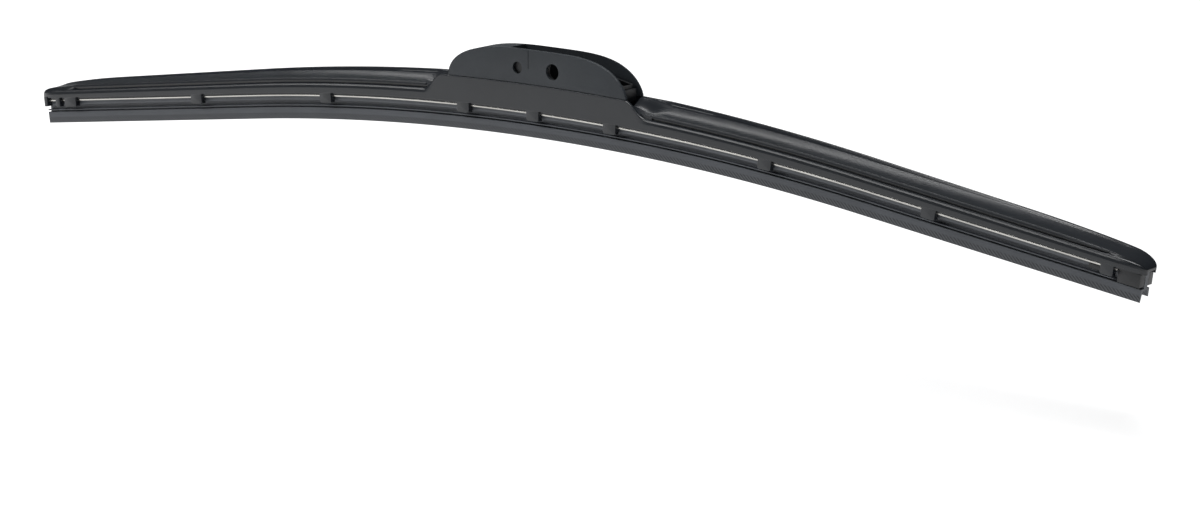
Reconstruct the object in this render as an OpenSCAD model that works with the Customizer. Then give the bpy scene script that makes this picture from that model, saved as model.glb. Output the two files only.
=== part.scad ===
// Flat wiper blade: ridged spoiler moulding on two bowed steel rails, a rubber wiping strip,
// and a connector whose hook adapter swings on its own pivot.
// Millimetres. Origin: centre of the arm pin hole. +X runs along the blade to the open end of
// the connector, +Y across the blade, +Z away from the glass.

/* [Bow] */
// Radius of the curved middle length
bow_r = 1190; // [900:10:1500]
// Half angle of the curved middle length; both ends run on straight
bow_half_angle = 7.5; // [5:0.5:10]
// Height of the arm pin above the bow line at mid length
pin_height = 13.7; // [12:0.1:18]
// Distance from the blade's middle to the arm pin
pin_offset = 8.7; // [7:0.1:12]

/* [Rails] */
// Width of one steel rail
rail_w = 3.5; // [2.8:0.1:4]
// Thickness of one steel rail
rail_t = 0.9; // [0.6:0.05:1.2]
// Depth of the rail's top face below the bow line
rail_depth = 3.65; // [3.4:0.05:4]
// Play around a rail in the rubber and under the spoiler
rail_play = 0.1; // [0.05:0.05:0.2]

/* [Wiping rubber] */
// Half width of the head above the rails
head_half = 2.6; // [2:0.1:3]
// Height of the head above the rails
head_h = 1.95; // [1.4:0.05:2]
// Half width of the web between the rails
web_half = 1.3; // [0.9:0.1:1.6]
// Half width of the flange below the rails
flange_half = 3.3; // [3:0.1:3.4]
// Height of the flange below the rails
flange_h = 1.55; // [1:0.05:1.8]
// Half width of the neck below the flange
neck_half = 1; // [0.7:0.1:1.2]
// Height of the neck below the flange
neck_h = 2; // [1.6:0.1:2.6]
// Half width of the bead and of both lips
lip_half = 2.75; // [2.4:0.05:3]
// Height of the bead above the hinge slit
bead_h = 0.5; // [0.3:0.05:0.8]
// Height of the hinge slit
slit_h = 0.65; // [0.4:0.05:0.9]
// Half width of the hinge web inside the slit
hinge_half = 1.1; // [0.6:0.1:1.4]
// Height of the long lip, on the near side
long_lip_h = 4.55; // [4:0.05:5.5]
// How much shorter the far lip is
lip_step = 1.3; // [0.5:0.1:2]
// Thickness of a lip at its root
lip_root_t = 1.1; // [0.8:0.05:1.4]
// Thickness of a lip at its tip
lip_tip_t = 0.35; // [0.25:0.05:0.6]
// Thickness of rubber above the hollow between the lips
lip_roof_t = 0.7; // [0.5:0.05:1]

/* [Spoiler length] */
// Length of the spoiler left of the blade's middle
cover_left = 282; // [270:0.5:300]
// Length of the spoiler right of the blade's middle
cover_right = 278.5; // [270:0.5:300]
// Plan radius of the corners at both ends
end_corner_r = 3; // [1:0.5:5]
// Length over which an end rounds down
tip_len = 14; // [8:1:24]
// Share of the height lost at an end
tip_share = 0.64; // [0.3:0.02:0.8]

/* [Spoiler section] */
// Half width of the moulding at its lower edge
cover_half = 6.3; // [6:0.05:7]
// Depth of the lower edge below the bow line
edge_depth = 2.8; // [2.2:0.05:3]
// Thickness of the side wall above the rails
side_wall_t = 1.1; // [0.8:0.05:1.2]
// Distance from mid length to where ridge and ribs begin
ridge_start = 57.4; // [56:0.2:62]
// Height of the ridge beside the saddle
crest_h = 8; // [7:0.1:9]
// Even fall of the ridge to the ends
crest_fall = 2.85; // [1:0.05:4]
// Extra fall of the ridge close to the ends
crest_droop = 1.15; // [0:0.05:2]
// Half width of the ridge where its flank begins
ridge_half = 1.6; // [1.2:0.1:2]
// Height of the side rib beside the saddle
rib_h = 3.4; // [2.6:0.1:4]
// Fall of the side rib to the ends
rib_fall = 1.6; // [0.6:0.1:2]
// Distance of the side rib from the middle plane
rib_y = 5; // [4.8:0.05:5.1]
// Height of the shoulder along the blade
shoulder_h = 0.7; // [0.3:0.05:1.2]
// Rise of the shoulder beside the saddle
shoulder_rise = 0.8; // [0.2:0.1:1.2]
// Fall of the shoulder at the ends
shoulder_fall = 1.3; // [0.4:0.1:1.6]
// Depth of the groove between shoulder and rib
groove_depth = 0.8; // [0.4:0.1:1.2]

/* [Saddle] */
// Half length of the saddle's full height
saddle_half_l = 48.5; // [47:0.1:50]
// Length of the curve down to the shoulder
saddle_run = 7.5; // [5:0.1:8]
// Height of the saddle flanks
saddle_h = 7.6; // [7:0.1:8]
// Thickness of the saddle flanks
flank_t = 1.5; // [1.3:0.05:1.8]
// Height of the ramp behind the connector's ends
ramp_top_h = 4.6; // [3:0.1:6]
// Height of the ramp where the ridge begins
ramp_foot_h = 2.2; // [1.6:0.1:3]

/* [Claws] */
// Distance of the first claws from the middle
claw_first = 37.5; // [36:0.5:40]
// Spacing of the claws
claw_pitch = 75; // [72:0.5:76]
// Length of a claw along the blade
claw_l = 6.2; // [5:0.1:7.5]
// Position of the middle claw
claw_mid_s = -1.3; // [-3:0.1:3]
// Position of the narrow claw near the left end
small_claw_s = -273; // [-274:0.1:-272]
// Length of the narrow claw
small_claw_l = 2.6; // [2.2:0.1:3.2]
// Depth of the claws below the bow line
claw_depth = 6.9; // [6.5:0.05:7.4]
// How far a claw's face stands back from the spoiler's lower edge
claw_inset = 0.15; // [0.1:0.05:0.3]
// How far a claw's foot reaches under the rail
foot_reach = 1.3; // [0.9:0.05:1.35]
// Radius of a claw's lower corners
claw_corner_r = 1; // [0.5:0.1:1.2]
// Radius of the fillets between a claw and the spoiler's lower edge
claw_fillet = 0.8; // [0.3:0.1:1]

/* [Connector] */
// Half length of the ears at their base
ear_half_l = 45.3; // [42:0.1:46]
// Height of the ears above their seat
ear_h = 14.8; // [13:0.1:16]
// Width over both ears
ear_width = 11.6; // [11:0.1:12]
// Thickness of one ear
ear_t = 2; // [1.6:0.1:2.2]
// Gap between the ears' seat and the saddle
seat_gap = 0.1; // [0.05:0.05:0.3]
// Rounding of the ears' outer rim
rim_r = 0.45; // [0.2:0.05:0.7]
// Diameter of the arm pin hole
pin_hole_d = 6.4; // [6.35:0.05:6.6]
// Distance from the arm pin to the adapter's pivot
pivot_dist = 17.8; // [16:0.1:20]
// Drop of the pivot below the arm pin
pivot_drop = 0.1; // [-0.5:0.1:1]
// Diameter of the pivot hole
pivot_hole_d = 4.76; // [4.5:0.02:5]
// Distance from the arm pin to the roof's edge
roof_edge = 22.4; // [21:0.1:26]
// Thickness of the roof over the closed end
roof_t = 2; // [1.2:0.1:2.4]
// Thickness of the connector's floor
floor_t = 1.6; // [1.2:0.1:2]
// Gap between the connector's base and the saddle's window
base_gap = 0.15; // [0.1:0.05:0.3]
// Depth of the line pressed into the ears
line_depth = 0.2; // [0.1:0.05:0.4]

/* [Hook adapter] */
// Gap between the adapter and an ear
swing_gap = 0.3; // [0.2:0.05:0.5]
// Radial play of the adapter's trunnions
trunnion_play = 0.06; // [0.03:0.01:0.1]
// How far a trunnion's end stands back from the ear's face
trunnion_recess = 1.4; // [1:0.1:1.6]
// Radius of the adapter around its pivot
barrel_r = 4.4; // [3.6:0.1:4.6]
// Thickness of the adapter's cheeks
cheek_t = 1.2; // [0.9:0.05:1.25]
// Height of the cheeks above the arm pin
cheek_top = 5.6; // [5:0.1:6.4]
// Radius of the window that clears the arm pin
clear_r = 4; // [3.6:0.1:4.4]
// Depth of the adapter's underside below the arm pin
adapter_depth = 9.3; // [8.6:0.1:9.4]
// Distance from the arm pin to the adapter's open end
adapter_reach = 34.5; // [32:0.1:36]
// Height of the cross wall at the open end
cross_h = 5.4; // [4:0.1:7]

/* [Bridge] */
// Half length of the steel bridge on the rails
bridge_half_l = 31; // [29:0.5:34]
// Thickness of the bridge's sheet
bridge_t = 0.9; // [0.7:0.05:1]
// Free height between the rubber's head and the bridge
bridge_rise = 0.9; // [0.8:0.05:1.1]
// Distance of each rivet from the middle
rivet_s = 24; // [20:0.5:26]
// Diameter of a rivet's shank
rivet_d = 3; // [2.4:0.1:3.4]
// Diameter of a rivet's heads
rivet_head_d = 5; // [4.4:0.1:5.2]

/* [End clip] */
// Length of the clip's side panels, up to the end of the rubber
clip_panel_l = 11.5; // [8:0.1:14]
// Length of the clip's arms
clip_arm_l = 11.5; // [10:0.1:13]
// Length of the clip's hook blocks
clip_hook_l = 4.5; // [3:0.1:5]
// Half width over the side panels
clip_half = 3; // [2.8:0.05:3.2]
// Half width over the hook blocks
clip_hook_half = 4.6; // [4.2:0.05:4.8]

/* [Hidden] */
$fn = 96;

mid_x = -pin_offset;
mid_z = -pin_height;
bow_reach = bow_r * bow_half_angle * PI / 180;

// Levels below the bow line, from the rails down
rail_in = web_half + rail_play;
rail_out = rail_in + rail_w;
rail_bottom = rail_depth + rail_t;
land_depth = rail_depth - rail_play;
head_bottom = rail_depth - rail_play;
head_top = head_bottom - head_h;
flange_top = rail_bottom + rail_play;
flange_bottom = flange_top + flange_h;
neck_bottom = flange_bottom + neck_h;
bead_bottom = neck_bottom + bead_h;
slit_bottom = bead_bottom + slit_h;
long_lip_bottom = slit_bottom + long_lip_h;
short_lip_bottom = long_lip_bottom - lip_step;

// Ends of the rails and the rubber
end_wall_t = 2.4;
rail_left = cover_left - end_wall_t - rail_play;
rail_right = cover_right - 1.5;
rubber_left = cover_left - 1;
rubber_right = cover_right - 1;
clip_panel_s = rubber_right - clip_panel_l;

// Spoiler
ridge_end_l = 268;
rib_w = 0.6;
groove_w = 0.5;
land_half = cover_half - side_wall_t;
top_half = cover_half - 0.1;
window_half_y = cover_half - flank_t + 0.05;
window_half_l = ear_half_l;
head_pocket_half = head_half + rail_play;
head_pocket_top = head_top - rail_play;

// Claws
claw_in = rail_out + 0.08;
claw_out = cover_half - claw_inset;
foot_in = rail_out - foot_reach;
claw_rows = [[small_claw_s, small_claw_l], [-265.1, 7], [claw_mid_s, claw_l], [264.3, 5.4],
    for (i = [0:2]) each [[-claw_first - i * claw_pitch, claw_l], [claw_first + i * claw_pitch, claw_l]]];

// Connector, in the arm pin's frame
ear_out = ear_width / 2;
channel_half = ear_out - ear_t;
base_half = window_half_y - base_gap;
base_half_l = window_half_l - base_gap;
seat_h = saddle_h + seat_gap;
pivot_x = -pivot_dist;
pivot_z = -pivot_drop;
bridge_under = -head_top + bridge_rise;
bridge_top = bridge_under + bridge_t;
base_bottom = bridge_top + 0.1;
floor_top = base_bottom + floor_t;

// Hook adapter
adapter_half = channel_half - swing_gap;
trunnion_r = pivot_hole_d / 2 - trunnion_play;

function clip01(t) = max(0, min(1, t));
function mix(a, b, t) = a + (b - a) * t;
function ease(t) = clip01(t) * clip01(t) * (3 - 2 * clip01(t));
function dome(t) = sqrt(1 - pow(1 - clip01(t), 2));

// Point of the bow: s along the bow line, y across, h above the line
function bow_angle(s) = max(-bow_half_angle, min(bow_half_angle, s / bow_r * 180 / PI));
function past_bow(s) = max(0, abs(s) - bow_reach);
function bow_x(s) = bow_r * sin(bow_angle(s)) + sign(s) * past_bow(s) * cos(bow_half_angle);
function bow_z(s) = -bow_r * (1 - cos(bow_angle(s))) - past_bow(s) * sin(bow_half_angle);
function on_bow(s, y, h) = [mid_x + bow_x(s) + h * sin(bow_angle(s)), y,
    mid_z + bow_z(s) + h * cos(bow_angle(s))];

// Heights of the spoiler along the blade
function ridge_run(s) = clip01((abs(s) - ridge_start) / (ridge_end_l - ridge_start));
function crest(s) = crest_h - crest_fall * ridge_run(s) - crest_droop * pow(ridge_run(s), 4);
function rib(s) = rib_h - rib_fall * ridge_run(s);
function shoulder(s) = shoulder_h + shoulder_rise * (1 - ease((abs(s) - 54) / 22))
    - shoulder_fall * pow(ridge_run(s), 4);
function flank(s) = mix(shoulder(s), saddle_h, ease((saddle_half_l + saddle_run - abs(s)) / saddle_run));
function ramp(s) = mix(ramp_foot_h, ramp_top_h, ease((ridge_start - abs(s)) / (ridge_start - window_half_l)));
function to_end(s) = s < 0 ? cover_left + s : cover_right - s;
function end_keep(s) = 1 - tip_share * (1 - dome(to_end(s) / tip_len));
function end_narrow(y, s) = y < head_pocket_half ? y : y - (y - head_pocket_half)
    * end_corner_r / (cover_half - head_pocket_half) * (1 - dome(to_end(s) / end_corner_r));

// Half outline of the spoiler, from the middle of the ridge outwards and down
function ridge_side(c, r, sh) = let (a = [ridge_half, c - 2.5], b = [rib_y - rib_w, r - 0.9],
    k = [ridge_half + 0.3, r - 0.5]) [
    [0, c], [0.7, c - 0.12], [1.15, c - 0.5], [1.4, c - 1.1], a,
    for (t = [0.2:0.2:0.81]) a * (1 - t) * (1 - t) + k * 2 * t * (1 - t) + b * t * t,
    b, [rib_y - 0.35, r - 0.4], [rib_y - 0.12, r - 0.05], [rib_y, r], [rib_y + 0.1, r - 0.2],
    [rib_y + 0.15, sh - groove_depth], [rib_y + 0.15 + groove_w, sh - groove_depth]];
function ramp_side(v) = [for (p = ridge_side(crest_h, rib_h, shoulder_h))
    [p[0] * (window_half_y - 0.2) / (rib_y + 0.15 + groove_w), v]];
function wall_side(y_in, f) = [[y_in, f - 0.08], [y_in + 0.12, f], [top_half - 0.15, f], [top_half, f - 0.12]];
underside = [[cover_half, -edge_depth], [land_half, -edge_depth], [land_half, -land_depth],
    [head_pocket_half, -land_depth], [head_pocket_half, -head_pocket_top]];
function half_ring(s) = let (
    grown = dome((abs(s) - ridge_start) / 2.2),
    inward = ease((ridge_start - abs(s)) / 2.4),
    full = ridge_side(crest(s), rib(s), shoulder(s)),
    low = ramp_side(ramp(s)),
    wall_y = mix(rib_y + 0.2 + groove_w, window_half_y - 0.05, inward))
    concat([for (i = [0:len(full) - 1])
        [mix(full[i][0], low[i][0], inward), mix(low[i][1], full[i][1], grown)]],
        wall_side(wall_y, flank(s)));
function ring(s) = let (
    half = concat([for (p = half_ring(s)) [p[0], -edge_depth + (p[1] + edge_depth) * end_keep(s)]], underside),
    n = len(half))
    concat([for (p = half) on_bow(s, end_narrow(p[0], s), p[1])],
        [for (i = [n - 1:-1:1]) on_bow(s, -end_narrow(half[i][0], s), half[i][1])]);
one_side = [0, 15, 30, 44, 46, 48, 49.5, 51, 52.5, 54, 55, 56, 57, 57.4, 57.55, 57.9, 58.5, 59.6, 62, 70, 82, 95,
    110, 125, 140, 156, 180, 205, 230, 250, 262];
tip_steps = [0, 0.12, 0.5, 1.2, 2, 3, 5.5, 8, 11, 14];
stations = concat([for (d = tip_steps) d - cover_left], [for (i = [len(one_side) - 1:-1:1]) -one_side[i]],
    one_side, [for (i = [len(tip_steps) - 1:-1:0]) cover_right - tip_steps[i]]);

// Closed skin through rings that all have the same number of points
module skin(rings) {
    n = len(rings[0]);
    last = (len(rings) - 1) * n;
    polyhedron(
        points = [for (r = rings) each r],
        faces = concat(
            [[for (j = [n - 1:-1:0]) j]],
            [for (i = [0:len(rings) - 2]) for (j = [0:n - 1])
                let (a = i * n + j, b = i * n + (j + 1) % n) each [[a, b, b + n], [a, b + n, a + n]]],
            [[for (j = [0:n - 1]) last + j]]),
        convexity = 12);
}

// Puts children at s on the bow line, with X along the line and Z away from the glass
module at_bow(s) {
    translate(on_bow(s, 0, 0)) rotate([0, bow_angle(s), 0]) children();
}

// Bars of one section along the bow: from s = from to s = to with a list of points that goes
// clockwise seen from +X, or both ways from the middle with a flat shape
function bow_steps(from, to) = concat([from],
    [for (k = [-13:13]) let (s = k * bow_reach / 13) if (s > from + 1 && s < to - 1) s], [to]);
module bow_bar(from, to, section) {
    skin([for (s = bow_steps(from, to)) [for (p = section) on_bow(s, p[0], p[1])]]);
}
module bow_arc(half_l) {
    turn = bow_angle(half_l);
    translate([mid_x, 0, mid_z - bow_r]) rotate([90, 0, 0]) rotate([0, 0, 90 - turn])
        rotate_extrude(angle = 2 * turn, $fn = 256)
            translate([bow_r, 0]) rotate(-90) children();
}
function box_section(y0, y1, h0, h1) = [[y0, h1], [y1, h1], [y1, h0], [y0, h0]];

// Plate standing along the blade: outline in s and h, from y = inner to y = outer on the near side
module side_plate(inner, outer) {
    translate([0, -inner, 0]) rotate([90, 0, 0]) linear_extrude(outer - inner) children();
}

module both_sides() {
    children();
    mirror([0, 1, 0]) children();
}

// Claw that grips a rail: a face plate with round lower corners and a foot under the rail
module claw(l) {
    r = min(claw_corner_r, l / 2 - 0.1);
    foot_l = l - 0.3;
    foot_h = claw_depth - 0.1 - rail_bottom - rail_play;
    hull()
        side_plate(claw_in, claw_out) {
            for (x = [r - l / 2, l / 2 - r]) translate([x, r - claw_depth]) circle(r, $fn = 24);
            translate([-l / 2, -edge_depth]) square([l, 0.6]);
        }
    for (side = [-1, 1])
        side_plate(claw_in + 0.05, claw_out - 0.02) translate([side * (l / 2 - 0.03), 0.03 - edge_depth]) difference() {
            translate([-claw_fillet, -claw_fillet]) square([2 * claw_fillet, claw_fillet + 0.3]);
            translate([side * claw_fillet, -claw_fillet]) circle(claw_fillet, $fn = 24);
        }
    side_plate(foot_in, claw_in + 0.3)
        translate([-foot_l / 2, -claw_depth + 0.1]) square([foot_l, foot_h]);
}

// Wall that closes the rail slot at the left end, with room for the rubber between its halves
module end_wall() {
    tall = claw_depth - 0.4 - edge_depth;
    w = cover_half - 0.15;
    inner = flange_half + 0.15;
    r = min(end_corner_r, w - inner - 0.2, end_wall_t - 0.2);
    at_bow(-cover_left) translate([0, 0, -edge_depth - tall])
        linear_extrude(tall + 0.5)
            polygon(concat([[end_wall_t, -inner], [end_wall_t, -w], [r, -w]],
                [for (k = [1:7]) [r - r * sin(k * 90 / 8), -w + r - r * cos(k * 90 / 8)]],
                [[0, -w + r], [0, -inner]]));
}

module cover() {
    color([0.075, 0.078, 0.083])
    difference() {
        union() {
            skin([for (s = stations) ring(s)]);
            both_sides() {
                for (c = claw_rows) at_bow(c[0]) claw(c[1]);
                end_wall();
            }
        }
        translate([mid_x - window_half_l, -window_half_y, mid_z - 8])
            cube([2 * window_half_l, 2 * window_half_y, 20]);
    }
}

module rail_front() {
    color([0.72, 0.71, 0.69])
    bow_bar(-rail_left, rail_right, box_section(-rail_out, -rail_in, -rail_bottom, -rail_depth));
}

module rail_rear() {
    color([0.72, 0.71, 0.69])
    bow_bar(-rail_left, rail_right, box_section(rail_in, rail_out, -rail_bottom, -rail_depth));
}

// Section of the rubber; at the end clip its flange and bead are trimmed to the neck
function rubber_side(trim, lip_bottom) = let (
    lip_in = lip_half - lip_root_t,
    flange = trim ? neck_half + 0.06 : flange_half,
    bead = trim ? neck_half + 0.05 : lip_half) [
    [head_half, -head_top], [head_half, -head_bottom], [web_half, -head_bottom], [web_half, -flange_top],
    [flange, -flange_top], [flange, -flange_bottom], [neck_half, -flange_bottom], [neck_half, -neck_bottom],
    [bead, -neck_bottom], [bead, -bead_bottom], [hinge_half, -bead_bottom], [hinge_half, -slit_bottom],
    [lip_half, -slit_bottom], [lip_half, -lip_bottom], [lip_half - lip_tip_t, -lip_bottom],
    [lip_in, -slit_bottom - lip_roof_t - 0.25]];
function rubber_ring(s, trim) = let (far = rubber_side(trim, short_lip_bottom),
    near = rubber_side(trim, long_lip_bottom), n = len(far))
    concat([for (p = far) on_bow(s, p[0], p[1])], [on_bow(s, 0, -slit_bottom - lip_roof_t)],
        [for (i = [n - 1:-1:0]) on_bow(s, -near[i][0], near[i][1])]);

module wiping_rubber() {
    trim_s = clip_panel_s - 0.2;
    color([0.11, 0.105, 0.1])
    skin(concat([for (s = bow_steps(-rubber_left, trim_s)) rubber_ring(s, false)],
        [for (s = [trim_s + 0.1, rubber_right]) rubber_ring(s, true)]));
}

// Keeper that closes the rubber's side grooves at the right end
module end_clip() {
    arm_top = -flange_bottom - 0.1;
    arm_bottom = -neck_bottom + 0.1;
    arm_in = neck_half + 0.1;
    panel_end = rubber_right;
    arm_start = clip_panel_s - clip_arm_l;
    hook_bottom = arm_bottom + 0.7;
    color([0.08, 0.08, 0.085])
    both_sides()
        at_bow(bow_reach) translate([-bow_reach, 0, 0]) union() {
            side_plate(arm_in, clip_half)
                polygon([[clip_panel_s, -flange_top - 0.35], [panel_end - 1, -flange_top - 0.35],
                    [panel_end, -flange_top - 1.2], [panel_end, -bead_bottom + 0.6],
                    [panel_end - 0.8, -bead_bottom], [clip_panel_s, -bead_bottom]]);
            side_plate(arm_in, flange_half)
                translate([arm_start, arm_bottom]) square([clip_panel_s + 0.5 - arm_start, arm_top - arm_bottom]);
            side_plate(flange_half - 0.6, clip_hook_half)
                translate([arm_start + 0.1, hook_bottom]) square([clip_hook_l, arm_top - 0.1 - hook_bottom]);
            side_plate(flange_half + 0.1, clip_hook_half)
                translate([arm_start + 0.1, arm_top - 0.5]) square([clip_hook_l, -flange_top - 0.1 - arm_top + 0.5]);
        }
}

// Arch of the ears: x from the ears' middle, z above their seat
function arch(t, d) = let (left = t > 90, n = left ? 2.3 : 3.1, m = left ? 2 : 1.5)
    [(left ? -1 : 1) * (ear_half_l - d) * pow(abs(cos(t)), 2 / n), (ear_h - d) * pow(sin(t), 2 / m)];
function seat_z(x) = sqrt(pow(bow_r + seat_h, 2) - x * x) - bow_r;
function ear_ring(y, d) = concat(
    [for (k = [0:48]) let (t = k * 180 / 48, p = arch(t, d))
        [mid_x + p[0], y, mid_z + max(seat_z(p[0]), seat_z(ear_half_l) + p[1])]],
    [for (k = [1:7]) let (x = mix(-ear_half_l + d, ear_half_l - d, k / 8)) [mid_x + x, y, mid_z + seat_z(x)]]);
function arch_inside(d) = [for (k = [0:36]) let (p = arch(k * 5, d)) [mid_x + p[0], mid_z + seat_z(ear_half_l) + p[1]]];

module cross_bore(x, z, r, length) {
    translate([x, 0, z]) rotate([90, 0, 0]) cylinder(h = length, r = r, center = true);
}

module connector_body() {
    channel_floor = mid_z + floor_top;
    line_x = mid_x - 3.5;
    color([0.068, 0.074, 0.08])
    difference() {
        union() {
            skin([for (k = [[-1, 1], [-0.97, 0.35], [-0.93, 0], [0.93, 0], [0.97, 0.35], [1, 1]])
                ear_ring(k[0] * ear_out, k[1] * rim_r)]);
            translate([mid_x - base_half_l, -base_half, mid_z + base_bottom])
                cube([2 * base_half_l, 2 * base_half, seat_z(base_half_l) + 0.6 - base_bottom]);
        }
        translate([-roof_edge, -channel_half, channel_floor])
            cube([100, 2 * channel_half, 40]);
        intersection() {
            translate([-roof_edge - 60, -channel_half, channel_floor])
                cube([61, 2 * channel_half, 40]);
            translate([0, channel_half, 0]) rotate([90, 0, 0]) linear_extrude(2 * channel_half)
                polygon(concat(arch_inside(roof_t), [[mid_x - ear_half_l + roof_t, channel_floor],
                    [mid_x + ear_half_l - roof_t, channel_floor]]));
        }
        cross_bore(0, 0, pin_hole_d / 2, ear_width + 1);
        cross_bore(pivot_x, pivot_z, pivot_hole_d / 2, ear_width + 1);
        for (s = [-rivet_s, rivet_s])
            translate([mid_x + s, 0, mid_z + base_bottom - 1]) cylinder(h = floor_t + 2, d = rivet_d);
        both_sides()
            translate([line_x - 0.12, -ear_out - 1, pivot_z]) cube([0.25, 1 + line_depth, 30]);
    }
}

module hook_adapter() {
    bottom = -adapter_depth;
    end_x = adapter_reach;
    cross_top = bottom + cross_h;
    cheek_end = end_x - 1.4;
    inner = adapter_half - cheek_t;
    color([0.09, 0.09, 0.095])
    difference() {
        union() {
            translate([0, adapter_half, 0]) rotate([90, 0, 0]) linear_extrude(2 * adapter_half)
                polygon(concat(
                    [for (a = [235:-12:91]) [pivot_x + barrel_r * cos(a), pivot_z + barrel_r * sin(a)]],
                    [[pivot_x + 1, pivot_z + barrel_r], [-6, cheek_top], [6, cheek_top], [cheek_end - 10, cross_top + 3.6],
                        [cheek_end, cross_top + 1.6], [cheek_end, cross_top], [end_x, cross_top], [end_x, bottom + 0.6],
                        [end_x - 0.6, bottom], [pivot_x + 5, bottom]]));
            cross_bore(pivot_x, pivot_z, trunnion_r, 2 * (ear_out - trunnion_recess));
        }
        translate([pivot_x + barrel_r + 1.5, -inner, bottom + 1.5])
            cube([end_x - 1.5 - pivot_x - barrel_r - 1.5, 2 * inner, 40]);
        cross_bore(0, 0, clear_r, 2 * adapter_half + 1);
    }
}

// Pressed steel bridge that ties the rails together under the connector
module rail_bridge() {
    leg_in = head_half + 0.15;
    leg_out = leg_in + bridge_t;
    foot = 0.02 - rail_depth;
    foot_out = window_half_y - base_gap;
    color([0.55, 0.55, 0.56])
    difference() {
        bow_arc(bridge_half_l)
            polygon([[-leg_out, bridge_top], [leg_out, bridge_top], [leg_out, foot + bridge_t],
                [foot_out, foot + bridge_t], [foot_out, foot], [leg_in, foot], [leg_in, bridge_under],
                [-leg_in, bridge_under], [-leg_in, foot], [-foot_out, foot], [-foot_out, foot + bridge_t],
                [-leg_out, foot + bridge_t]]);
        for (s = [-rivet_s, rivet_s])
            translate([mid_x + s, 0, mid_z]) cylinder(h = 12, d = rivet_d, center = true);
    }
}

module bridge_rivets() {
    tail_t = 0.55;
    color([0.6, 0.6, 0.6])
    for (s = [-rivet_s, rivet_s])
        translate([mid_x + s, 0, mid_z]) {
            z_under = bridge_under - s * s / 2 / bow_r - 0.08;
            translate([0, 0, z_under - tail_t]) cylinder(h = tail_t, d = rivet_head_d);
            translate([0, 0, z_under - 0.1]) cylinder(h = floor_top + 0.2 - z_under, d = rivet_d - 0.04);
            translate([0, 0, floor_top + 0.02]) cylinder(h = 0.8, d1 = rivet_head_d, d2 = rivet_head_d - 1.4);
        }
}

cover();
rail_front();
rail_rear();
wiping_rubber();
end_clip();
connector_body();
hook_adapter();
rail_bridge();
bridge_rivets();
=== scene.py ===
import math

import bmesh
import bpy
from mathutils import Matrix, Vector


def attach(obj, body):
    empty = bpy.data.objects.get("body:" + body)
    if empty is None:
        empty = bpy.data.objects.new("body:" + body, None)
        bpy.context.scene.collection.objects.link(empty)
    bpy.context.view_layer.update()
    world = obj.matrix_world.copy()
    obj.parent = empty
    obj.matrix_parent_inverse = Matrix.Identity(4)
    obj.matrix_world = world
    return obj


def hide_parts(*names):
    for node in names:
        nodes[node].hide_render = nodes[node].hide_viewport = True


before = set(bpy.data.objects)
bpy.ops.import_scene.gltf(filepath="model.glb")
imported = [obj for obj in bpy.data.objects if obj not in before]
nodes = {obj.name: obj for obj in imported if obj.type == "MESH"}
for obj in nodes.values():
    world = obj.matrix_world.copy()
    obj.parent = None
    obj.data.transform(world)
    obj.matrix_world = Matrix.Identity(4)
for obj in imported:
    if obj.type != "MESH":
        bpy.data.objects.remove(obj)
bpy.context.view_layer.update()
scene = bpy.context.scene
scene.view_settings.view_transform = "Standard"

MM = 0.001
WELD = 2e-6

# The bow that the whole blade follows, in millimetres: s along it, y across, h above it
BOW_R = 1190
BOW_HALF = math.radians(7.5)
MID_X = -8.7
MID_Z = -13.7
BOW_REACH = BOW_R * BOW_HALF

# Spoiler: its ends, its underside and the saddle with the window for the adapter
LEFT_END = 284.2
RIGHT_END = 279
END_WALL_S = 282
HALF_W = 6.3
EDGE_H = -2.8
LAND_Y = 5.2
LAND_H = -3.55
POCKET_Y = 2.7
POCKET_H = -1.5
SADDLE_H = 7.6
WINDOW_Y = 4.85
WINDOW_L = 45.3
WINDOW_H = (-8, 14)

# Spoiler outside the saddle: height at the saddle and how far it falls towards the ends
RIDGE_START = 57.4
RIDGE_RUN = 210.6
RIDGE_END = 268
CREST_H, CREST_FALL = 7.8, 4.0
RIB_H, RIB_FALL = 3.7, 1.1
RIB_DEPTH = 1.15
SLOT_DEPTH = 2.05
RAMP_H = (4.6, 2.4)

# Rounding of the two ends: reach of the fall, reach and drop of the nose, reach of the corners
LEFT_TIP = (40, 8, 0.55, 9)
RIGHT_TIP = (55, 10, 0.7, 13)
TIP_BASE = 0.5
TIP_CORNER = 3.4
TIP_L = 30

# Claws
CLAW_H = -6.9
CLAW_IN = 4.98
CLAW_OUT = 6.15
CLAW_L = 6.2
CLAW_FILLET = 0.8
CLAW_ROOT = 0.5
CLAW_FOOT = (-6.8, 3.6)
CLAW_PITCH = 75
CLAWS = [(-273, 2.6), (-265.1, 7), (-1.3, CLAW_L), (264.3, 5.4)]
CLAWS += [(side * CLAW_PITCH * (i + 0.5), CLAW_L) for i in range(3) for side in (-1, 1)]

# Rails and rubber
RAIL_IN = 1.4
RAIL_OUT = 4.9
RAIL_TOP = -3.65
RAIL_BOTTOM = -4.5
RAIL_ENDS = (-279.5, 268)
RUBBER_ENDS = (-283.2, 277.5)
PANEL_S = 266

# End clip's blocks beside the rubber: start, end, inner y, outer y, bottom, top
CLIP_BLOCKS = [(268.2, 277.4, 1.1, 4.4, -8.6, -3.6), (256, 261.5, 3.4, 4.7, -6.4, -4.75)]

# Connector housing
EAR_L = 45.3
EAR_H = 14.5
EAR_OUT = 5.8
EAR_RIM = 0.45
CHANNEL_X = -22.4
CHANNEL_Y = 4.7
CHANNEL_H = 6.4
ROOF_T = 2.0
SEAT_H = SADDLE_H + 0.1
PIN_R = 3.2
PIVOT = (-17.8, -0.1)
PIVOT_R = 2.38
LINE_X = MID_X - 3.5


# Small helpers for shapes

def clip01(t):
    return max(0.0, min(1.0, t))


def mix(a, b, t):
    return a + (b - a) * t


def ease(t):
    t = clip01(t)
    return t * t * (3 - 2 * t)


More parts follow.
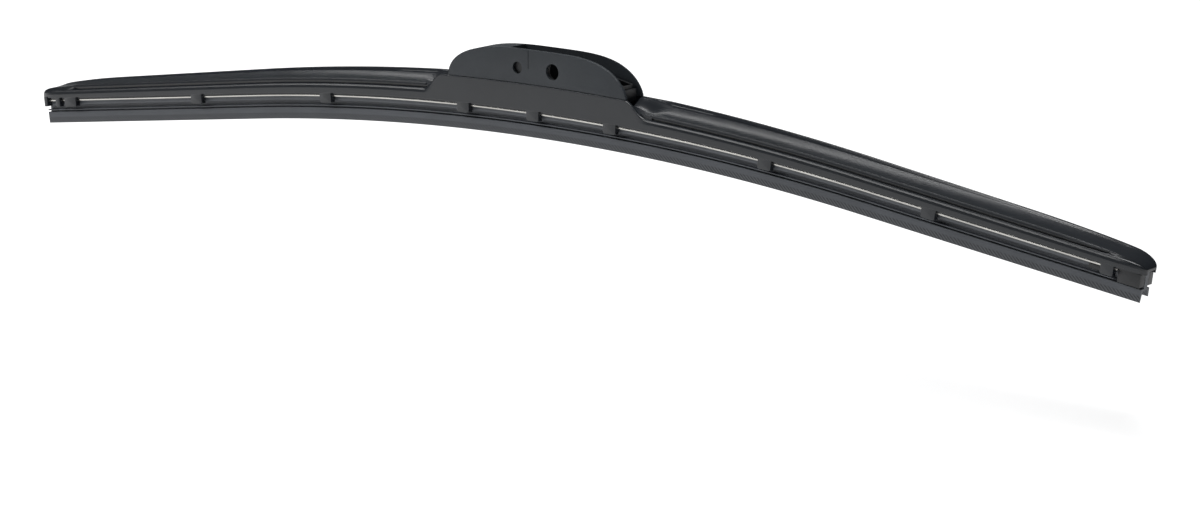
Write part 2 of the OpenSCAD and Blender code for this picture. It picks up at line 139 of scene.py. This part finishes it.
def dome(t):
    return math.sqrt(1 - (1 - clip01(t)) ** 2)


def bow_angle(s):
    return max(-BOW_HALF, min(BOW_HALF, s / BOW_R))


def on_bow(s, y, h):
    """Point of the blade in metres."""
    turn = bow_angle(s)
    past = max(0.0, abs(s) - BOW_REACH)
    x = BOW_R * math.sin(turn) + math.copysign(past, s) * math.cos(BOW_HALF)
    z = -BOW_R * (1 - math.cos(turn)) - past * math.sin(BOW_HALF)
    return Vector((MID_X + x + h * math.sin(turn), y, MID_Z + z + h * math.cos(turn))) * MM


def off_bow(x, z):
    """s and h, in millimetres, of a point given in metres."""
    x, z = x / MM - MID_X, z / MM - MID_Z
    turn = math.atan2(x, z + BOW_R)
    if abs(turn) <= BOW_HALF:
        return BOW_R * turn, math.hypot(x, z + BOW_R) - BOW_R
    side = math.copysign(1, x)
    x = side * x - BOW_R * math.sin(BOW_HALF)
    z += BOW_R * (1 - math.cos(BOW_HALF))
    along = x * math.cos(BOW_HALF) - z * math.sin(BOW_HALF)
    return side * (BOW_REACH + along), x * math.sin(BOW_HALF) + z * math.cos(BOW_HALF)


def mark_blade(mesh):
    """Stores each vertex's place along, across and above the bow, for the materials."""
    place = mesh.attributes.get("blade") or mesh.attributes.new("blade", "FLOAT_VECTOR", "POINT")
    for vertex, value in zip(mesh.vertices, place.data):
        s, h = off_bow(vertex.co.x, vertex.co.z)
        value.vector = (s * MM, vertex.co.y, h * MM)


def rounded(corners, steps=4):
    """Outline with its corners rounded: each corner is (a, b, radius). A radius of 0 gives one
    point, any other gives steps + 1, so outlines of one kind always have equal length."""
    out = []
    count = len(corners)
    for i, (a, b, r) in enumerate(corners):
        here = Vector((a, b))
        if r <= 0:
            out.append((a, b))
            continue
        back = Vector(corners[i - 1][:2]) - here
        on = Vector(corners[(i + 1) % count][:2]) - here
        if back.length < 1e-6 or on.length < 1e-6:
            out += [(a, b)] * (steps + 1)
            continue
        turn = math.pi - back.angle(on)
        reach = min(r * math.tan(min(turn, 2.6) / 2), 0.48 * back.length, 0.48 * on.length)
        start = here + back.normalized() * reach
        end = here + on.normalized() * reach
        for k in range(steps + 1):
            t = k / steps
            p = start * (1 - t) ** 2 + here * 2 * t * (1 - t) + end * t ** 2
            out.append((p.x, p.y))
    return out


def mesh_piece(name, verts, faces, body, mat, angle=30):
    """New piece that rides a body and is smooth up to the given crease angle."""
    mesh = bpy.data.meshes.new(name)
    mesh.from_pydata([tuple(v) for v in verts], [], faces)
    bm = bmesh.new()
    bm.from_mesh(mesh)
    bmesh.ops.remove_doubles(bm, verts=bm.verts, dist=WELD)
    bmesh.ops.recalc_face_normals(bm, faces=bm.faces)
    bm.to_mesh(mesh)
    bm.free()
    piece = bpy.data.objects.new(name, mesh)
    scene.collection.objects.link(piece)
    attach(piece, body)
    mark_blade(mesh)
    dress(piece, mat, angle)
    return piece


def skin(rings, first=0):
    """Vertices and faces of a closed skin through rings of equal length."""
    n = len(rings[0])
    verts = [p for ring in rings for p in ring]
    faces = [[first + j for j in range(n)], [first + len(verts) - n + j for j in range(n)]]
    for i in range(len(rings) - 1):
        for j in range(n):
            a, b = first + i * n + j, first + i * n + (j + 1) % n
            faces.append([a, b, b + n, a + n])
    return verts, faces


def merged(parts):
    """One list of vertices and faces out of several skins, each a list of rings."""
    verts, faces = [], []
    for rings in parts:
        more_verts, more_faces = skin(rings, len(verts))
        verts += more_verts
        faces += more_faces
    return verts, faces


def plate(outline, s0, y0, y1, bevel=0.12):
    """Rings of a plate standing along the blade at s0, with its face at y1 bevelled."""
    turn = bow_angle(s0)
    foot = on_bow(s0, 0, 0)
    cx = sum(p[0] for p in outline) / len(outline)
    cz = sum(p[1] for p in outline) / len(outline)

    def ring(y, inset):
        out = []
        for x, z in outline:
            away = Vector((x - cx, z - cz))
            away -= away.normalized() * inset
            x2, z2 = cx + away.x, cz + away.y
            out.append(foot + Vector((x2 * math.cos(turn) + z2 * math.sin(turn), y,
                                      -x2 * math.sin(turn) + z2 * math.cos(turn))) * MM)
        return out
    toward = math.copysign(1, y1 - y0)
    steps = ((1, 0), (0.3, 0.3), (0, 1))
    return [ring(y0, 0)] + [ring(y1 - toward * bevel * back, bevel * inset)
                            for back, inset in steps]


def carve(piece, cutters):
    """Cuts closed meshes out of a piece."""
    for cutter in cutters:
        cut = piece.modifiers.new("cut", "BOOLEAN")
        cut.operation = "DIFFERENCE"
        cut.solver = "EXACT"
        cut.object = cutter
    graph = bpy.context.evaluated_depsgraph_get()
    shape = bpy.data.meshes.new_from_object(piece.evaluated_get(graph))
    piece.modifiers.clear()
    piece.data = shape
    mark_blade(shape)
    for cutter in cutters:
        bpy.data.objects.remove(cutter)


def cutter_from(rings):
    """Closed mesh through rings of equal length, to cut with."""
    verts, faces = skin(rings)
    mesh = bpy.data.meshes.new("cutter")
    mesh.from_pydata([tuple(v) for v in verts], [], faces)
    bm = bmesh.new()
    bm.from_mesh(mesh)
    bmesh.ops.recalc_face_normals(bm, faces=bm.faces)
    bm.to_mesh(mesh)
    bm.free()
    cutter = bpy.data.objects.new("cutter", mesh)
    scene.collection.objects.link(cutter)
    return cutter


def box_cutter(low, high):
    (x0, y0, z0), (x1, y1, z1) = low, high
    plan = ((x0, y0), (x1, y0), (x1, y1), (x0, y1))
    return cutter_from([[Vector((x, y, z)) * MM for x, y in plan] for z in (z0, z1)])


def bore_cutter(x, z, r, half_l=7, sides=72):
    turns = [2 * math.pi * k / sides for k in range(sides)]
    rim = [(x + r * math.cos(t), z + r * math.sin(t)) for t in turns]
    return cutter_from([[Vector((a, y, b)) * MM for a, b in rim] for y in (-half_l, half_l)])


# Materials

TINT_SPREAD = 0.1
GLOSS_SPREAD = 0.05
RELIEF_DEPTH = 0.0001
HATCH_DARK = 0.25
HATCH_TURN = math.radians(52)
HATCH_TOP, HATCH_FULL = -0.0114, -0.0120


def node_tree(name):
    mat = bpy.data.materials.new(name)
    mat.use_nodes = True
    tree = mat.node_tree
    return mat, tree, tree.nodes["Principled BSDF"]


def add(tree, kind, **settings):
    made = tree.nodes.new(kind)
    for key, value in settings.items():
        if key in made.inputs:
            made.inputs[key].default_value = value
        else:
            setattr(made, key, value)
    return made


def noise(tree, where, scale, detail=3.0, stretch=None):
    """Noise over the given places, in cycles per metre."""
    out = add(tree, "ShaderNodeTexNoise", Scale=scale, Detail=detail)
    if stretch:
        mapping = add(tree, "ShaderNodeMapping", Scale=stretch)
        tree.links.new(where, mapping.inputs["Vector"])
        where = mapping.outputs["Vector"]
    tree.links.new(where, out.inputs["Vector"])
    return out


def along_blade(tree):
    return add(tree, "ShaderNodeAttribute", attribute_name="blade").outputs["Vector"]


def in_object(tree):
    return add(tree, "ShaderNodeTexCoord").outputs["Object"]


def blended(tree, low, high, factor):
    """Colour that goes from low to high with the factor."""
    ramp = add(tree, "ShaderNodeValToRGB")
    ramp.color_ramp.elements[0].position = 0.3
    ramp.color_ramp.elements[1].position = 0.7
    ramp.color_ramp.elements[0].color = (*low, 1)
    ramp.color_ramp.elements[1].color = (*high, 1)
    tree.links.new(factor, ramp.inputs["Fac"])
    return ramp.outputs["Color"]


def combined(tree, operation, a, b, **settings):
    """Two values joined by a math node."""
    result = add(tree, "ShaderNodeMath", operation=operation, **settings)
    tree.links.new(a, result.inputs[0])
    tree.links.new(b, result.inputs[1])
    return result.outputs[0]


def ranged(tree, value, span=(0, 1), to=(0, 1)):
    """A value mapped from one span to another, held within it."""
    limits = ("From Min", "From Max", "To Min", "To Max")
    result = add(tree, "ShaderNodeMapRange", **dict(zip(limits, (*span, *to))))
    tree.links.new(value, result.inputs["Value"])
    return result.outputs["Result"]


def moulded(name, colour, rough, grain, bump, place=in_object, drag=None, relief_of=None):
    """Moulded plastic or rubber: faint mottling, fine grain in the relief and uneven gloss.
    drag adds relief that runs along the blade, relief_of adds a pattern of the surface's own."""
    mat, tree, shader = node_tree(name)
    where = place(tree)
    mottle = noise(tree, where, 60, 4)
    low = [c * (1 - TINT_SPREAD) for c in colour]
    high = [c * (1 + TINT_SPREAD) for c in colour]
    tint = blended(tree, low, high, mottle.outputs["Fac"])
    gloss = ranged(tree, noise(tree, where, 150, 2).outputs["Fac"],
                   to=(rough - GLOSS_SPREAD, rough + GLOSS_SPREAD))
    tree.links.new(gloss, shader.inputs["Roughness"])
    height = noise(tree, where, grain, 4).outputs["Fac"]
    if drag:
        streaks = noise(tree, where, drag, 3, (0.03, 1, 1)).outputs["Fac"]
        height = combined(tree, "ADD", height, streaks)
    if relief_of:
        pattern = relief_of(tree, where)
        height = combined(tree, "ADD", height, pattern)
        darker = add(tree, "ShaderNodeMix", data_type="RGBA")
        tree.links.new(pattern, darker.inputs[0])
        tree.links.new(tint, darker.inputs[6])
        darker.inputs[7].default_value = (*[c * HATCH_DARK for c in colour], 1)
        tint = darker.outputs[2]
    tree.links.new(tint, shader.inputs["Base Color"])
    relief = add(tree, "ShaderNodeBump", Strength=bump, Distance=RELIEF_DEPTH)
    tree.links.new(height, relief.inputs["Height"])
    tree.links.new(relief.outputs["Normal"], shader.inputs["Normal"])
    return mat


def lip_hatch(tree, where):
    """Fine diagonal hatch on the lower part of the lip, in the blade's own coordinates."""
    turned = add(tree, "ShaderNodeMapping", Rotation=(0, HATCH_TURN, 0))
    tree.links.new(where, turned.inputs["Vector"])
    waves = add(tree, "ShaderNodeTexWave", Scale=300, Distortion=0.6, Detail=1.0)
    tree.links.new(turned.outputs["Vector"], waves.inputs["Vector"])
    split = add(tree, "ShaderNodeSeparateXYZ")
    tree.links.new(where, split.inputs["Vector"])
    band = ranged(tree, split.outputs["Z"], (HATCH_TOP, HATCH_FULL), (0, 1))
    return combined(tree, "MULTIPLY", waves.outputs["Fac"], band)


def strip_steel(name):
    """Rolled steel strip with fine lines along it."""
    mat, tree, shader = node_tree(name)
    lines = noise(tree, in_object(tree), 400, 3, (0.05, 1, 1))
    tree.links.new(blended(tree, (0.40, 0.39, 0.37), (0.56, 0.55, 0.52), lines.outputs["Fac"]),
                   shader.inputs["Base Color"])
    shader.inputs["Metallic"].default_value = 1.0
    gloss = ranged(tree, lines.outputs["Fac"], to=(0.18, 0.3))
    tree.links.new(gloss, shader.inputs["Roughness"])
    return mat


SPOILER = moulded("spoiler_plastic", (0.011, 0.0135, 0.0175), 0.3, 4000, 0.03, along_blade, 900)
CONNECTOR = moulded("connector_plastic", (0.022, 0.027, 0.033), 0.5, 5000, 0.3)
# The adapter's plastic is its own dark plastic, made darker still as painted shade for the inside
# of the housing's channel; the end block under the spoiler's right end takes it too.
ADAPTER_DARKENED_AS_SHADE = moulded("adapter_plastic_painted_shade", (0.007, 0.008, 0.010), 0.45, 4000, 0.2)
RUBBER = moulded("wiping_rubber", (0.09, 0.097, 0.109), 0.5, 3000, 0.3, along_blade, 2500,
                 lip_hatch)
STEEL = strip_steel("strip_steel")


def dress(piece, mat, angle):
    """Gives a piece its material and smooth shading up to the given crease angle."""
    mesh = piece.data
    mesh.materials.clear()
    mesh.materials.append(mat)
    if "custom_normal" in mesh.attributes:
        mesh.attributes.remove(mesh.attributes["custom_normal"])
    mesh.polygons.foreach_set("use_smooth", [True] * len(mesh.polygons))
    weld = piece.modifiers.new("weld", "WELD")
    weld.merge_threshold = WELD
    split = piece.modifiers.new("creases", "EDGE_SPLIT")
    split.split_angle = math.radians(angle)


# The hook adapter gets the plastic that is darkened as painted shade.
for name, (mat, angle) in {
    "hook_adapter": (ADAPTER_DARKENED_AS_SHADE, 30),
    "rail_bridge": (STEEL, 30),
    "bridge_rivets": (STEEL, 30),
}.items():
    dress(nodes[name], mat, angle)


# Spoiler: low shoulder and rib on the near side, a sweep up to the crest on the far side

def ridge_run(s):
    return clip01((abs(s) - RIDGE_START) / RIDGE_RUN)


def crest(s):
    return CREST_H - CREST_FALL * ridge_run(s)


def rib_top(s):
    return RIB_H - RIB_FALL * ridge_run(s)


def slot_low(s):
    """Where the convex shoulder ends, at the slot under the rib."""
    return rib_top(s) - SLOT_DEPTH


def near_top(s):
    """Top of the near flank, from the saddle down to the shoulder."""
    start, run = (44.0, 11.0) if s > 0 else (48.6, 9.6)
    return mix(slot_low(s), SADDLE_H, ease((start + run - abs(s)) / run))


def far_top(s):
    return mix(SADDLE_H, crest(s), ease((abs(s) - 50) / 10))


def valley(s, y):
    """Top surface between the rib and the crest."""
    along = ease((abs(s) - 50) / 12)
    ramp = mix(*RAMP_H, ease((abs(s) - 45) / 12))
    trough = mix(ramp, far_top(s), ease((y + 1.5) / 6.5))
    sweep = mix(rib_top(s) - 0.3, far_top(s), clip01((y + 4.4) / 10.4) ** 2)
    return mix(trough, sweep, along)


def to_end(s):
    """Distance to the nearer end of the spoiler."""
    return LEFT_END + s if s < 0 else RIGHT_END - s


def spoiler_section(s):
    """Outline across the blade, from the near edge over the top and back underneath."""
    ridge = ease((abs(s) - 57.2) / 0.5)
    relief = ridge * ease((RIDGE_END - abs(s)) / 9)
    spread = ease((abs(s) - 49) / 9)
    top_h = near_top(s)
    low = valley(s, -4.4)
    rib_h = mix(low, rib_top(s), relief)
    rib_low = mix(low, rib_top(s) - RIB_DEPTH, relief)
    slot_h = mix(low, top_h, relief)
    slot_y = -mix(4.86, 4.3, relief)
    rib_y = -mix(4.82, 4.95, relief)
    rib_foot = -mix(4.82, 5.32, relief)
    top = [(y, valley(s, y)) for y in [-4.1 + 0.35 * k for k in range(24)]]

    def groove(y, half, depth):
        h = valley(s, y)
        bed = h - depth * relief
        return [(y - half, h), (y - half + 0.05, bed), (y + half - 0.05, bed), (y + half, h)]
    top += groove(4.35, 0.2, 0.4) + [(4.8, valley(s, 4.8))] + groove(5.3, 0.13, 0.25)
    sharp = [(y, h, 0) for y, h in top]
    return rounded(
        [(-HALF_W, EDGE_H, 0.25), (-HALF_W + 0.06, top_h - mix(2.5, 1.9, spread), 0.5),
         (-mix(6.22, 6.05, spread), top_h - mix(0.4, 0.95, spread), 0.6),
         (-mix(6.15, 5.72, spread), top_h - mix(0.15, 0.32, spread), 0.5),
         (-mix(5.9, 5.35, spread), top_h, 0.3), (-mix(4.95, 5.25, ridge), top_h, 0),
         (slot_y, slot_h, 0), (slot_y, rib_low, 0), (rib_foot, rib_low, 0.12), (rib_y, rib_h, 0.25),
         (-4.6, rib_h, 0.1), (-4.5, low, 0.1)]
        + sharp
        + [(HALF_W - 0.15, far_top(s), 0.7), (HALF_W, EDGE_H, 0.2),
           (LAND_Y, EDGE_H, 0), (LAND_Y, LAND_H, 0), (POCKET_Y, LAND_H, 0), (POCKET_Y, POCKET_H, 0),
           (-POCKET_Y, POCKET_H, 0), (-POCKET_Y, LAND_H, 0), (-LAND_Y, LAND_H, 0),
           (-LAND_Y, EDGE_H, 0)])


def spoiler_ring(s):
    """Section at s on the bow, lowered and narrowed towards the ends."""
    left = to_end(s)
    fall_l, nose_l, nose_drop, corner_l = LEFT_TIP if s < 0 else RIGHT_TIP
    fall = dome(left / fall_l)
    nose = 1 - nose_drop * (1 - dome(left / nose_l))
    corner = (TIP_CORNER / (HALF_W - POCKET_Y)) * (1 - dome(left / corner_l))
    ring = []
    for y, h in spoiler_section(s):
        if h > TIP_BASE:
            h = TIP_BASE + (h - TIP_BASE) * fall
        if h > EDGE_H:
            h = EDGE_H + (h - EDGE_H) * nose
        if abs(y) > POCKET_Y:
            y -= math.copysign(abs(y) - POCKET_Y, y) * corner
        ring.append(on_bow(s, y, h))
    return ring


def spoiler_stations():
    """Places along the bow for the sections, close together where the shape turns."""
    marks = {0.0, 57.2, 57.3, 57.4, 57.5, 57.6, 57.7, 57.9}
    marks |= {43 + 0.75 * k for k in range(27)}
    marks |= {66 + 4 * k for k in range(46)}
    marks |= {10.0 * k for k in range(5)}
    out = sorted({-m for m in marks} | marks)
    tips = [TIP_L * (1 - math.cos(math.pi / 2 * k / 14)) for k in range(15)] + [0.08, 1.0, 2.2]
    out = [s for s in out if TIP_L + 1 - LEFT_END < s < RIGHT_END - TIP_L - 1]
    return sorted(set(out + [t - LEFT_END for t in tips] + [RIGHT_END - t for t in tips]))


def claw_outline(l):
    """Claw seen from the side, with fillets where it leaves the edge."""
    half = l / 2
    r = min(1.0, half - 0.1)
    wide = half + CLAW_FILLET
    root = EDGE_H + CLAW_ROOT
    return rounded([(-wide, root, 0), (-wide, EDGE_H, 0), (-half, EDGE_H, CLAW_FILLET),
                    (-half, CLAW_H, r), (half, CLAW_H, r), (half, EDGE_H, CLAW_FILLET),
                    (wide, EDGE_H, 0), (wide, root, 0)], 6)


def claw_parts(side):
    """Each claw's plate and its foot under the rail."""
    bottom, foot_y = CLAW_FOOT
    top = RAIL_BOTTOM - 0.05
    parts = []
    for s, l in CLAWS:
        parts.append(plate(claw_outline(l), s, side * CLAW_IN, side * CLAW_OUT))
        half = l / 2 - 0.15
        foot = [(-half, bottom), (half, bottom), (half, top), (-half, top)]
        parts.append(plate(foot, s, side * (CLAW_IN + 0.3), side * foot_y))
    return parts


def end_wall_rings(side):
    """Half of the wall that closes the left end, below the spoiler."""
    inner, outer, thick, r = 3.45, 6.15, 2.4, 2.2
    plan = rounded([(thick, inner, 0), (thick, outer, 0.2), (0, outer, r), (0, inner, 0.2)], 6)
    turn = bow_angle(-END_WALL_S)
    foot = on_bow(-END_WALL_S, 0, 0)
    return [[foot + Vector((x * math.cos(turn) + z * math.sin(turn), side * y,
                            -x * math.sin(turn) + z * math.cos(turn))) * MM for x, y in plan]
            for z in (-6.5, EDGE_H + 0.4)]


verts, faces = skin([spoiler_ring(s) for s in spoiler_stations()])
spoiler = mesh_piece("spoiler", verts, faces, "blade", SPOILER, 32)
spoiler.modifiers.clear()
carve(spoiler, [box_cutter((MID_X - WINDOW_L, -WINDOW_Y, MID_Z + WINDOW_H[0]),
                           (MID_X + WINDOW_L, WINDOW_Y, MID_Z + WINDOW_H[1]))])
dress(spoiler, SPOILER, 32)
verts, faces = merged([r for side in (-1, 1) for r in claw_parts(side) + [end_wall_rings(side)]])
mesh_piece("spoiler_claws", verts, faces, "blade", SPOILER, 32)
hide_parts("cover")


# Rails with rounded edges, and the rubber strip

def bow_steps(start, end, count=140):
    return [mix(start, end, k / count) for k in range(count + 1)]


for side, node in ((-1, "rail_front"), (1, "rail_rear")):
    section = rounded([(side * y, h, r) for y, h, r in (
        (RAIL_IN, RAIL_TOP, 0.2), (RAIL_OUT, RAIL_TOP, 0.28),
        (RAIL_OUT, RAIL_BOTTOM, 0.28), (RAIL_IN, RAIL_BOTTOM, 0.2))])
    verts, faces = skin([[on_bow(s, y, h) for y, h in section] for s in bow_steps(*RAIL_ENDS)])
    strip = mesh_piece("strip_" + node.split("_")[1], verts, faces, "blade", STEEL)
    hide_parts(node)


def rubber_half(side, trim, lip_bottom):
    """Corners of one side of the rubber, from the top down: head, web, flange, neck, bead, lip."""
    flange = 1.06 if trim else 3.3
    bead = 1.05 if trim else 2.75
    return [(side * y, h, r) for y, h, r in (
        (2.6, -1.6, 0.3), (2.6, -3.55, 0.2), (1.3, -3.55, 0.1), (1.3, -4.66, 0.1),
        (flange, -4.66, 0.25), (flange, -6.2, 0.25), (1.0, -6.2, 0.15), (1.0, -8.2, 0.15),
        (bead, -8.2, 0.2), (bead, -8.7, 0.2), (1.1, -8.7, 0.1), (1.1, -9.35, 0.1),
        (2.75, -9.35, 0.2), (2.75, lip_bottom, 0.1), (2.4, lip_bottom, 0.1), (1.65, -10.3, 0.3))]


def rubber_ring(s, trim):
    """Section of the rubber at s; the far lip is shorter than the near one."""
    far = rubber_half(1, trim, -12.7)
    near = rubber_half(-1, trim, -14.2)
    return [on_bow(s, y, h) for y, h in rounded(far + [(0, -10.05, 0.3)] + near[::-1], 3)]


trim_s = PANEL_S - 0.2
rings = [rubber_ring(s, False) for s in bow_steps(RUBBER_ENDS[0], trim_s)]
rings += [rubber_ring(s, True) for s in (trim_s + 0.1, RUBBER_ENDS[1])]
verts, faces = skin(rings)
rubber = mesh_piece("rubber_strip", verts, faces, "blade", RUBBER)
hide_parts("wiping_rubber")


# End clip: a block that closes the right end below the spoiler, and a hook beside the rail's end

def block(s0, s1, y_in, y_out, h0, h1):
    middle = (s0 + s1) / 2
    half = (s1 - s0) / 2
    outline = rounded([(-half, h0, 0.3), (half, h0, 0.3), (half, h1, 0.2), (-half, h1, 0.2)])
    return plate(outline, middle, y_in, y_out)


verts, faces = merged([block(s0, s1, side * y_in, side * y_out, h0, h1)
                       for side in (-1, 1) for s0, s1, y_in, y_out, h0, h1 in CLIP_BLOCKS])
# The end block takes the adapter's plastic, darkened as painted shade for the hollow under the
# spoiler's end.
clip = mesh_piece("end_block", verts, faces, "blade", ADAPTER_DARKENED_AS_SHADE)
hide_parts("end_clip")


# Connector housing

def seat_z(x):
    """Height of the saddle under the housing."""
    return math.sqrt((BOW_R + SEAT_H) ** 2 - x * x) - BOW_R


def arch(t, d):
    """Point of the arch at t degrees, d inside its outline; fuller on the left."""
    n, m = (3.0, 2.2) if t > 90 else (4.0, 1.55)
    a = math.radians(t)
    return (math.copysign((EAR_L - d) * abs(math.cos(a)) ** (2 / n), math.cos(a)),
            (EAR_H - d) * math.sin(a) ** (2 / m))


def ear_ring(y, d):
    """Outline of the housing at y, over the arch and back along the seat."""
    out = []
    for k in range(97):
        x, z = arch(k * 180 / 96, d)
        out.append(Vector((MID_X + x, y, MID_Z + max(seat_z(x), seat_z(EAR_L) + z))) * MM)
    for k in range(1, 12):
        x = mix(d - EAR_L, EAR_L - d, k / 12)
        out.append(Vector((MID_X + x, y, MID_Z + seat_z(x))) * MM)
    return out


rim = [(EAR_RIM * inset, EAR_RIM * d) for inset, d in ((0, 1), (0.13, 0.5), (0.5, 0.13), (1, 0))]
rings = [ear_ring(side * (EAR_OUT - inset), d)
         for side, steps in ((-1, rim), (1, rim[::-1])) for inset, d in steps]
verts, faces = skin(rings)
housing = mesh_piece("connector_housing", verts, faces, "blade", CONNECTOR)
housing.modifiers.clear()
channel_z = MID_Z + CHANNEL_H
roof_x = CHANNEL_X + 1
roof = [(MID_X + x, MID_Z + seat_z(EAR_L) + z) for x, z in (arch(k * 5, ROOF_T) for k in range(37))]
roof = [(x, z) for x, z in roof if x < roof_x]
room = [(roof_x, channel_z), (roof_x, roof[0][1])] + roof + [(roof[-1][0], channel_z)]
carve(housing, [
    box_cutter((CHANNEL_X, -CHANNEL_Y, channel_z), (78, CHANNEL_Y, 30)),
    cutter_from([[Vector((x, y, z)) * MM for x, z in room] for y in (-CHANNEL_Y, CHANNEL_Y)]),
    bore_cutter(0, 0, PIN_R),
    bore_cutter(*PIVOT, PIVOT_R),
    box_cutter((LINE_X - 0.12, -7, -0.1), (LINE_X + 0.13, 0.2 - EAR_OUT, 30)),
])
dress(housing, CONNECTOR, 30)
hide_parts("connector_body")


# Studio

FLOOR_Z = -0.1
AMBIENT = 0.07
GLOW_REACH = (0.3, 1.3)
GLOW = (0.38, 0.95)
CAMERA_PLACE = (0.9538, -1.1646, 0.2631)
CAMERA_TARGET = (0.0193, 0, -0.0737)
LENS = 116.84


def look_at(obj, target, along=None):
    """Turns a lamp or camera to its target; a lamp's long side runs along the given direction."""
    back = (obj.location - Vector(target)).normalized()
    if along is None:
        obj.rotation_euler = (-back).to_track_quat("-Z", "Y").to_euler()
        return
    side = (Vector(along) - back * back.dot(Vector(along))).normalized()
    up = back.cross(side)
    obj.rotation_euler = Matrix((side, up, back)).transposed().to_euler()


def soft_light(name, place, target, size, power, along):
    """Rectangular area lamp; its first side runs along the given direction."""
    data = bpy.data.lights.new(name, "AREA")
    data.shape = "RECTANGLE"
    data.size, data.size_y = size
    data.energy = power
    lamp = bpy.data.objects.new(name, data)
    scene.collection.objects.link(lamp)
    lamp.location = place
    look_at(lamp, target, along)


def white_to_camera(tree):
    """1 for rays from the camera and for reflected or transmitted rays, else 0."""
    path = add(tree, "ShaderNodeLightPath")
    seen = combined(tree, "ADD", path.outputs["Is Camera Ray"], path.outputs["Is Glossy Ray"])
    return combined(tree, "ADD", seen, path.outputs["Is Transmission Ray"], use_clamp=True)


world = bpy.data.worlds.new("studio")
scene.world = world
world.use_nodes = True
ambient = world.node_tree.nodes["Background"]
ambient.inputs["Color"].default_value = (0.92, 0.96, 1.0, 1)
ambient.inputs["Strength"].default_value = AMBIENT

bpy.ops.mesh.primitive_plane_add(size=14, location=(0, 0, FLOOR_Z))
floor = bpy.context.object
floor.name = "floor"
mat, tree, shader = node_tree("floor_paper")
shader.inputs["Base Color"].default_value = (0.82, 0.82, 0.82, 1)
shader.inputs["Roughness"].default_value = 0.9
shader.inputs["Specular IOR Level"].default_value = 0.1
glow = add(tree, "ShaderNodeEmission", Color=(1, 1, 1, 1))
reach = add(tree, "ShaderNodeVectorMath", operation="LENGTH")
tree.links.new(in_object(tree), reach.inputs[0])
spread = ranged(tree, reach.outputs["Value"], GLOW_REACH, GLOW)
gain = combined(tree, "MULTIPLY", white_to_camera(tree), spread)
tree.links.new(gain, glow.inputs["Strength"])
both = add(tree, "ShaderNodeAddShader")
tree.links.new(shader.outputs[0], both.inputs[0])
tree.links.new(glow.outputs[0], both.inputs[1])
tree.links.new(both.outputs[0], tree.nodes["Material Output"].inputs["Surface"])
floor.data.materials.append(mat)

soft_light("back_left_strip", (-0.75, 0.6, 1.05), (0, 0, 0), (1.0, 0.1), 2.4, (1, 0, 0))
soft_light("overhead", (0.1, 0.0, 1.7), (0.05, 0, -0.1), (1.5, 0.6), 26, (-0.63, 0.78, 0))
soft_light("front_left_box", (-0.8, -1.02, 0.8), (0, 0, 0), (1.2, 0.24), 7.0, (1, 0, 0))


# Camera

camera = bpy.data.objects.new("camera", bpy.data.cameras.new("camera"))
scene.collection.objects.link(camera)
camera.location = CAMERA_PLACE
look_at(camera, CAMERA_TARGET)
camera.data.sensor_width = 36
camera.data.lens = LENS
camera.data.clip_start = 0.05
scene.camera = camera
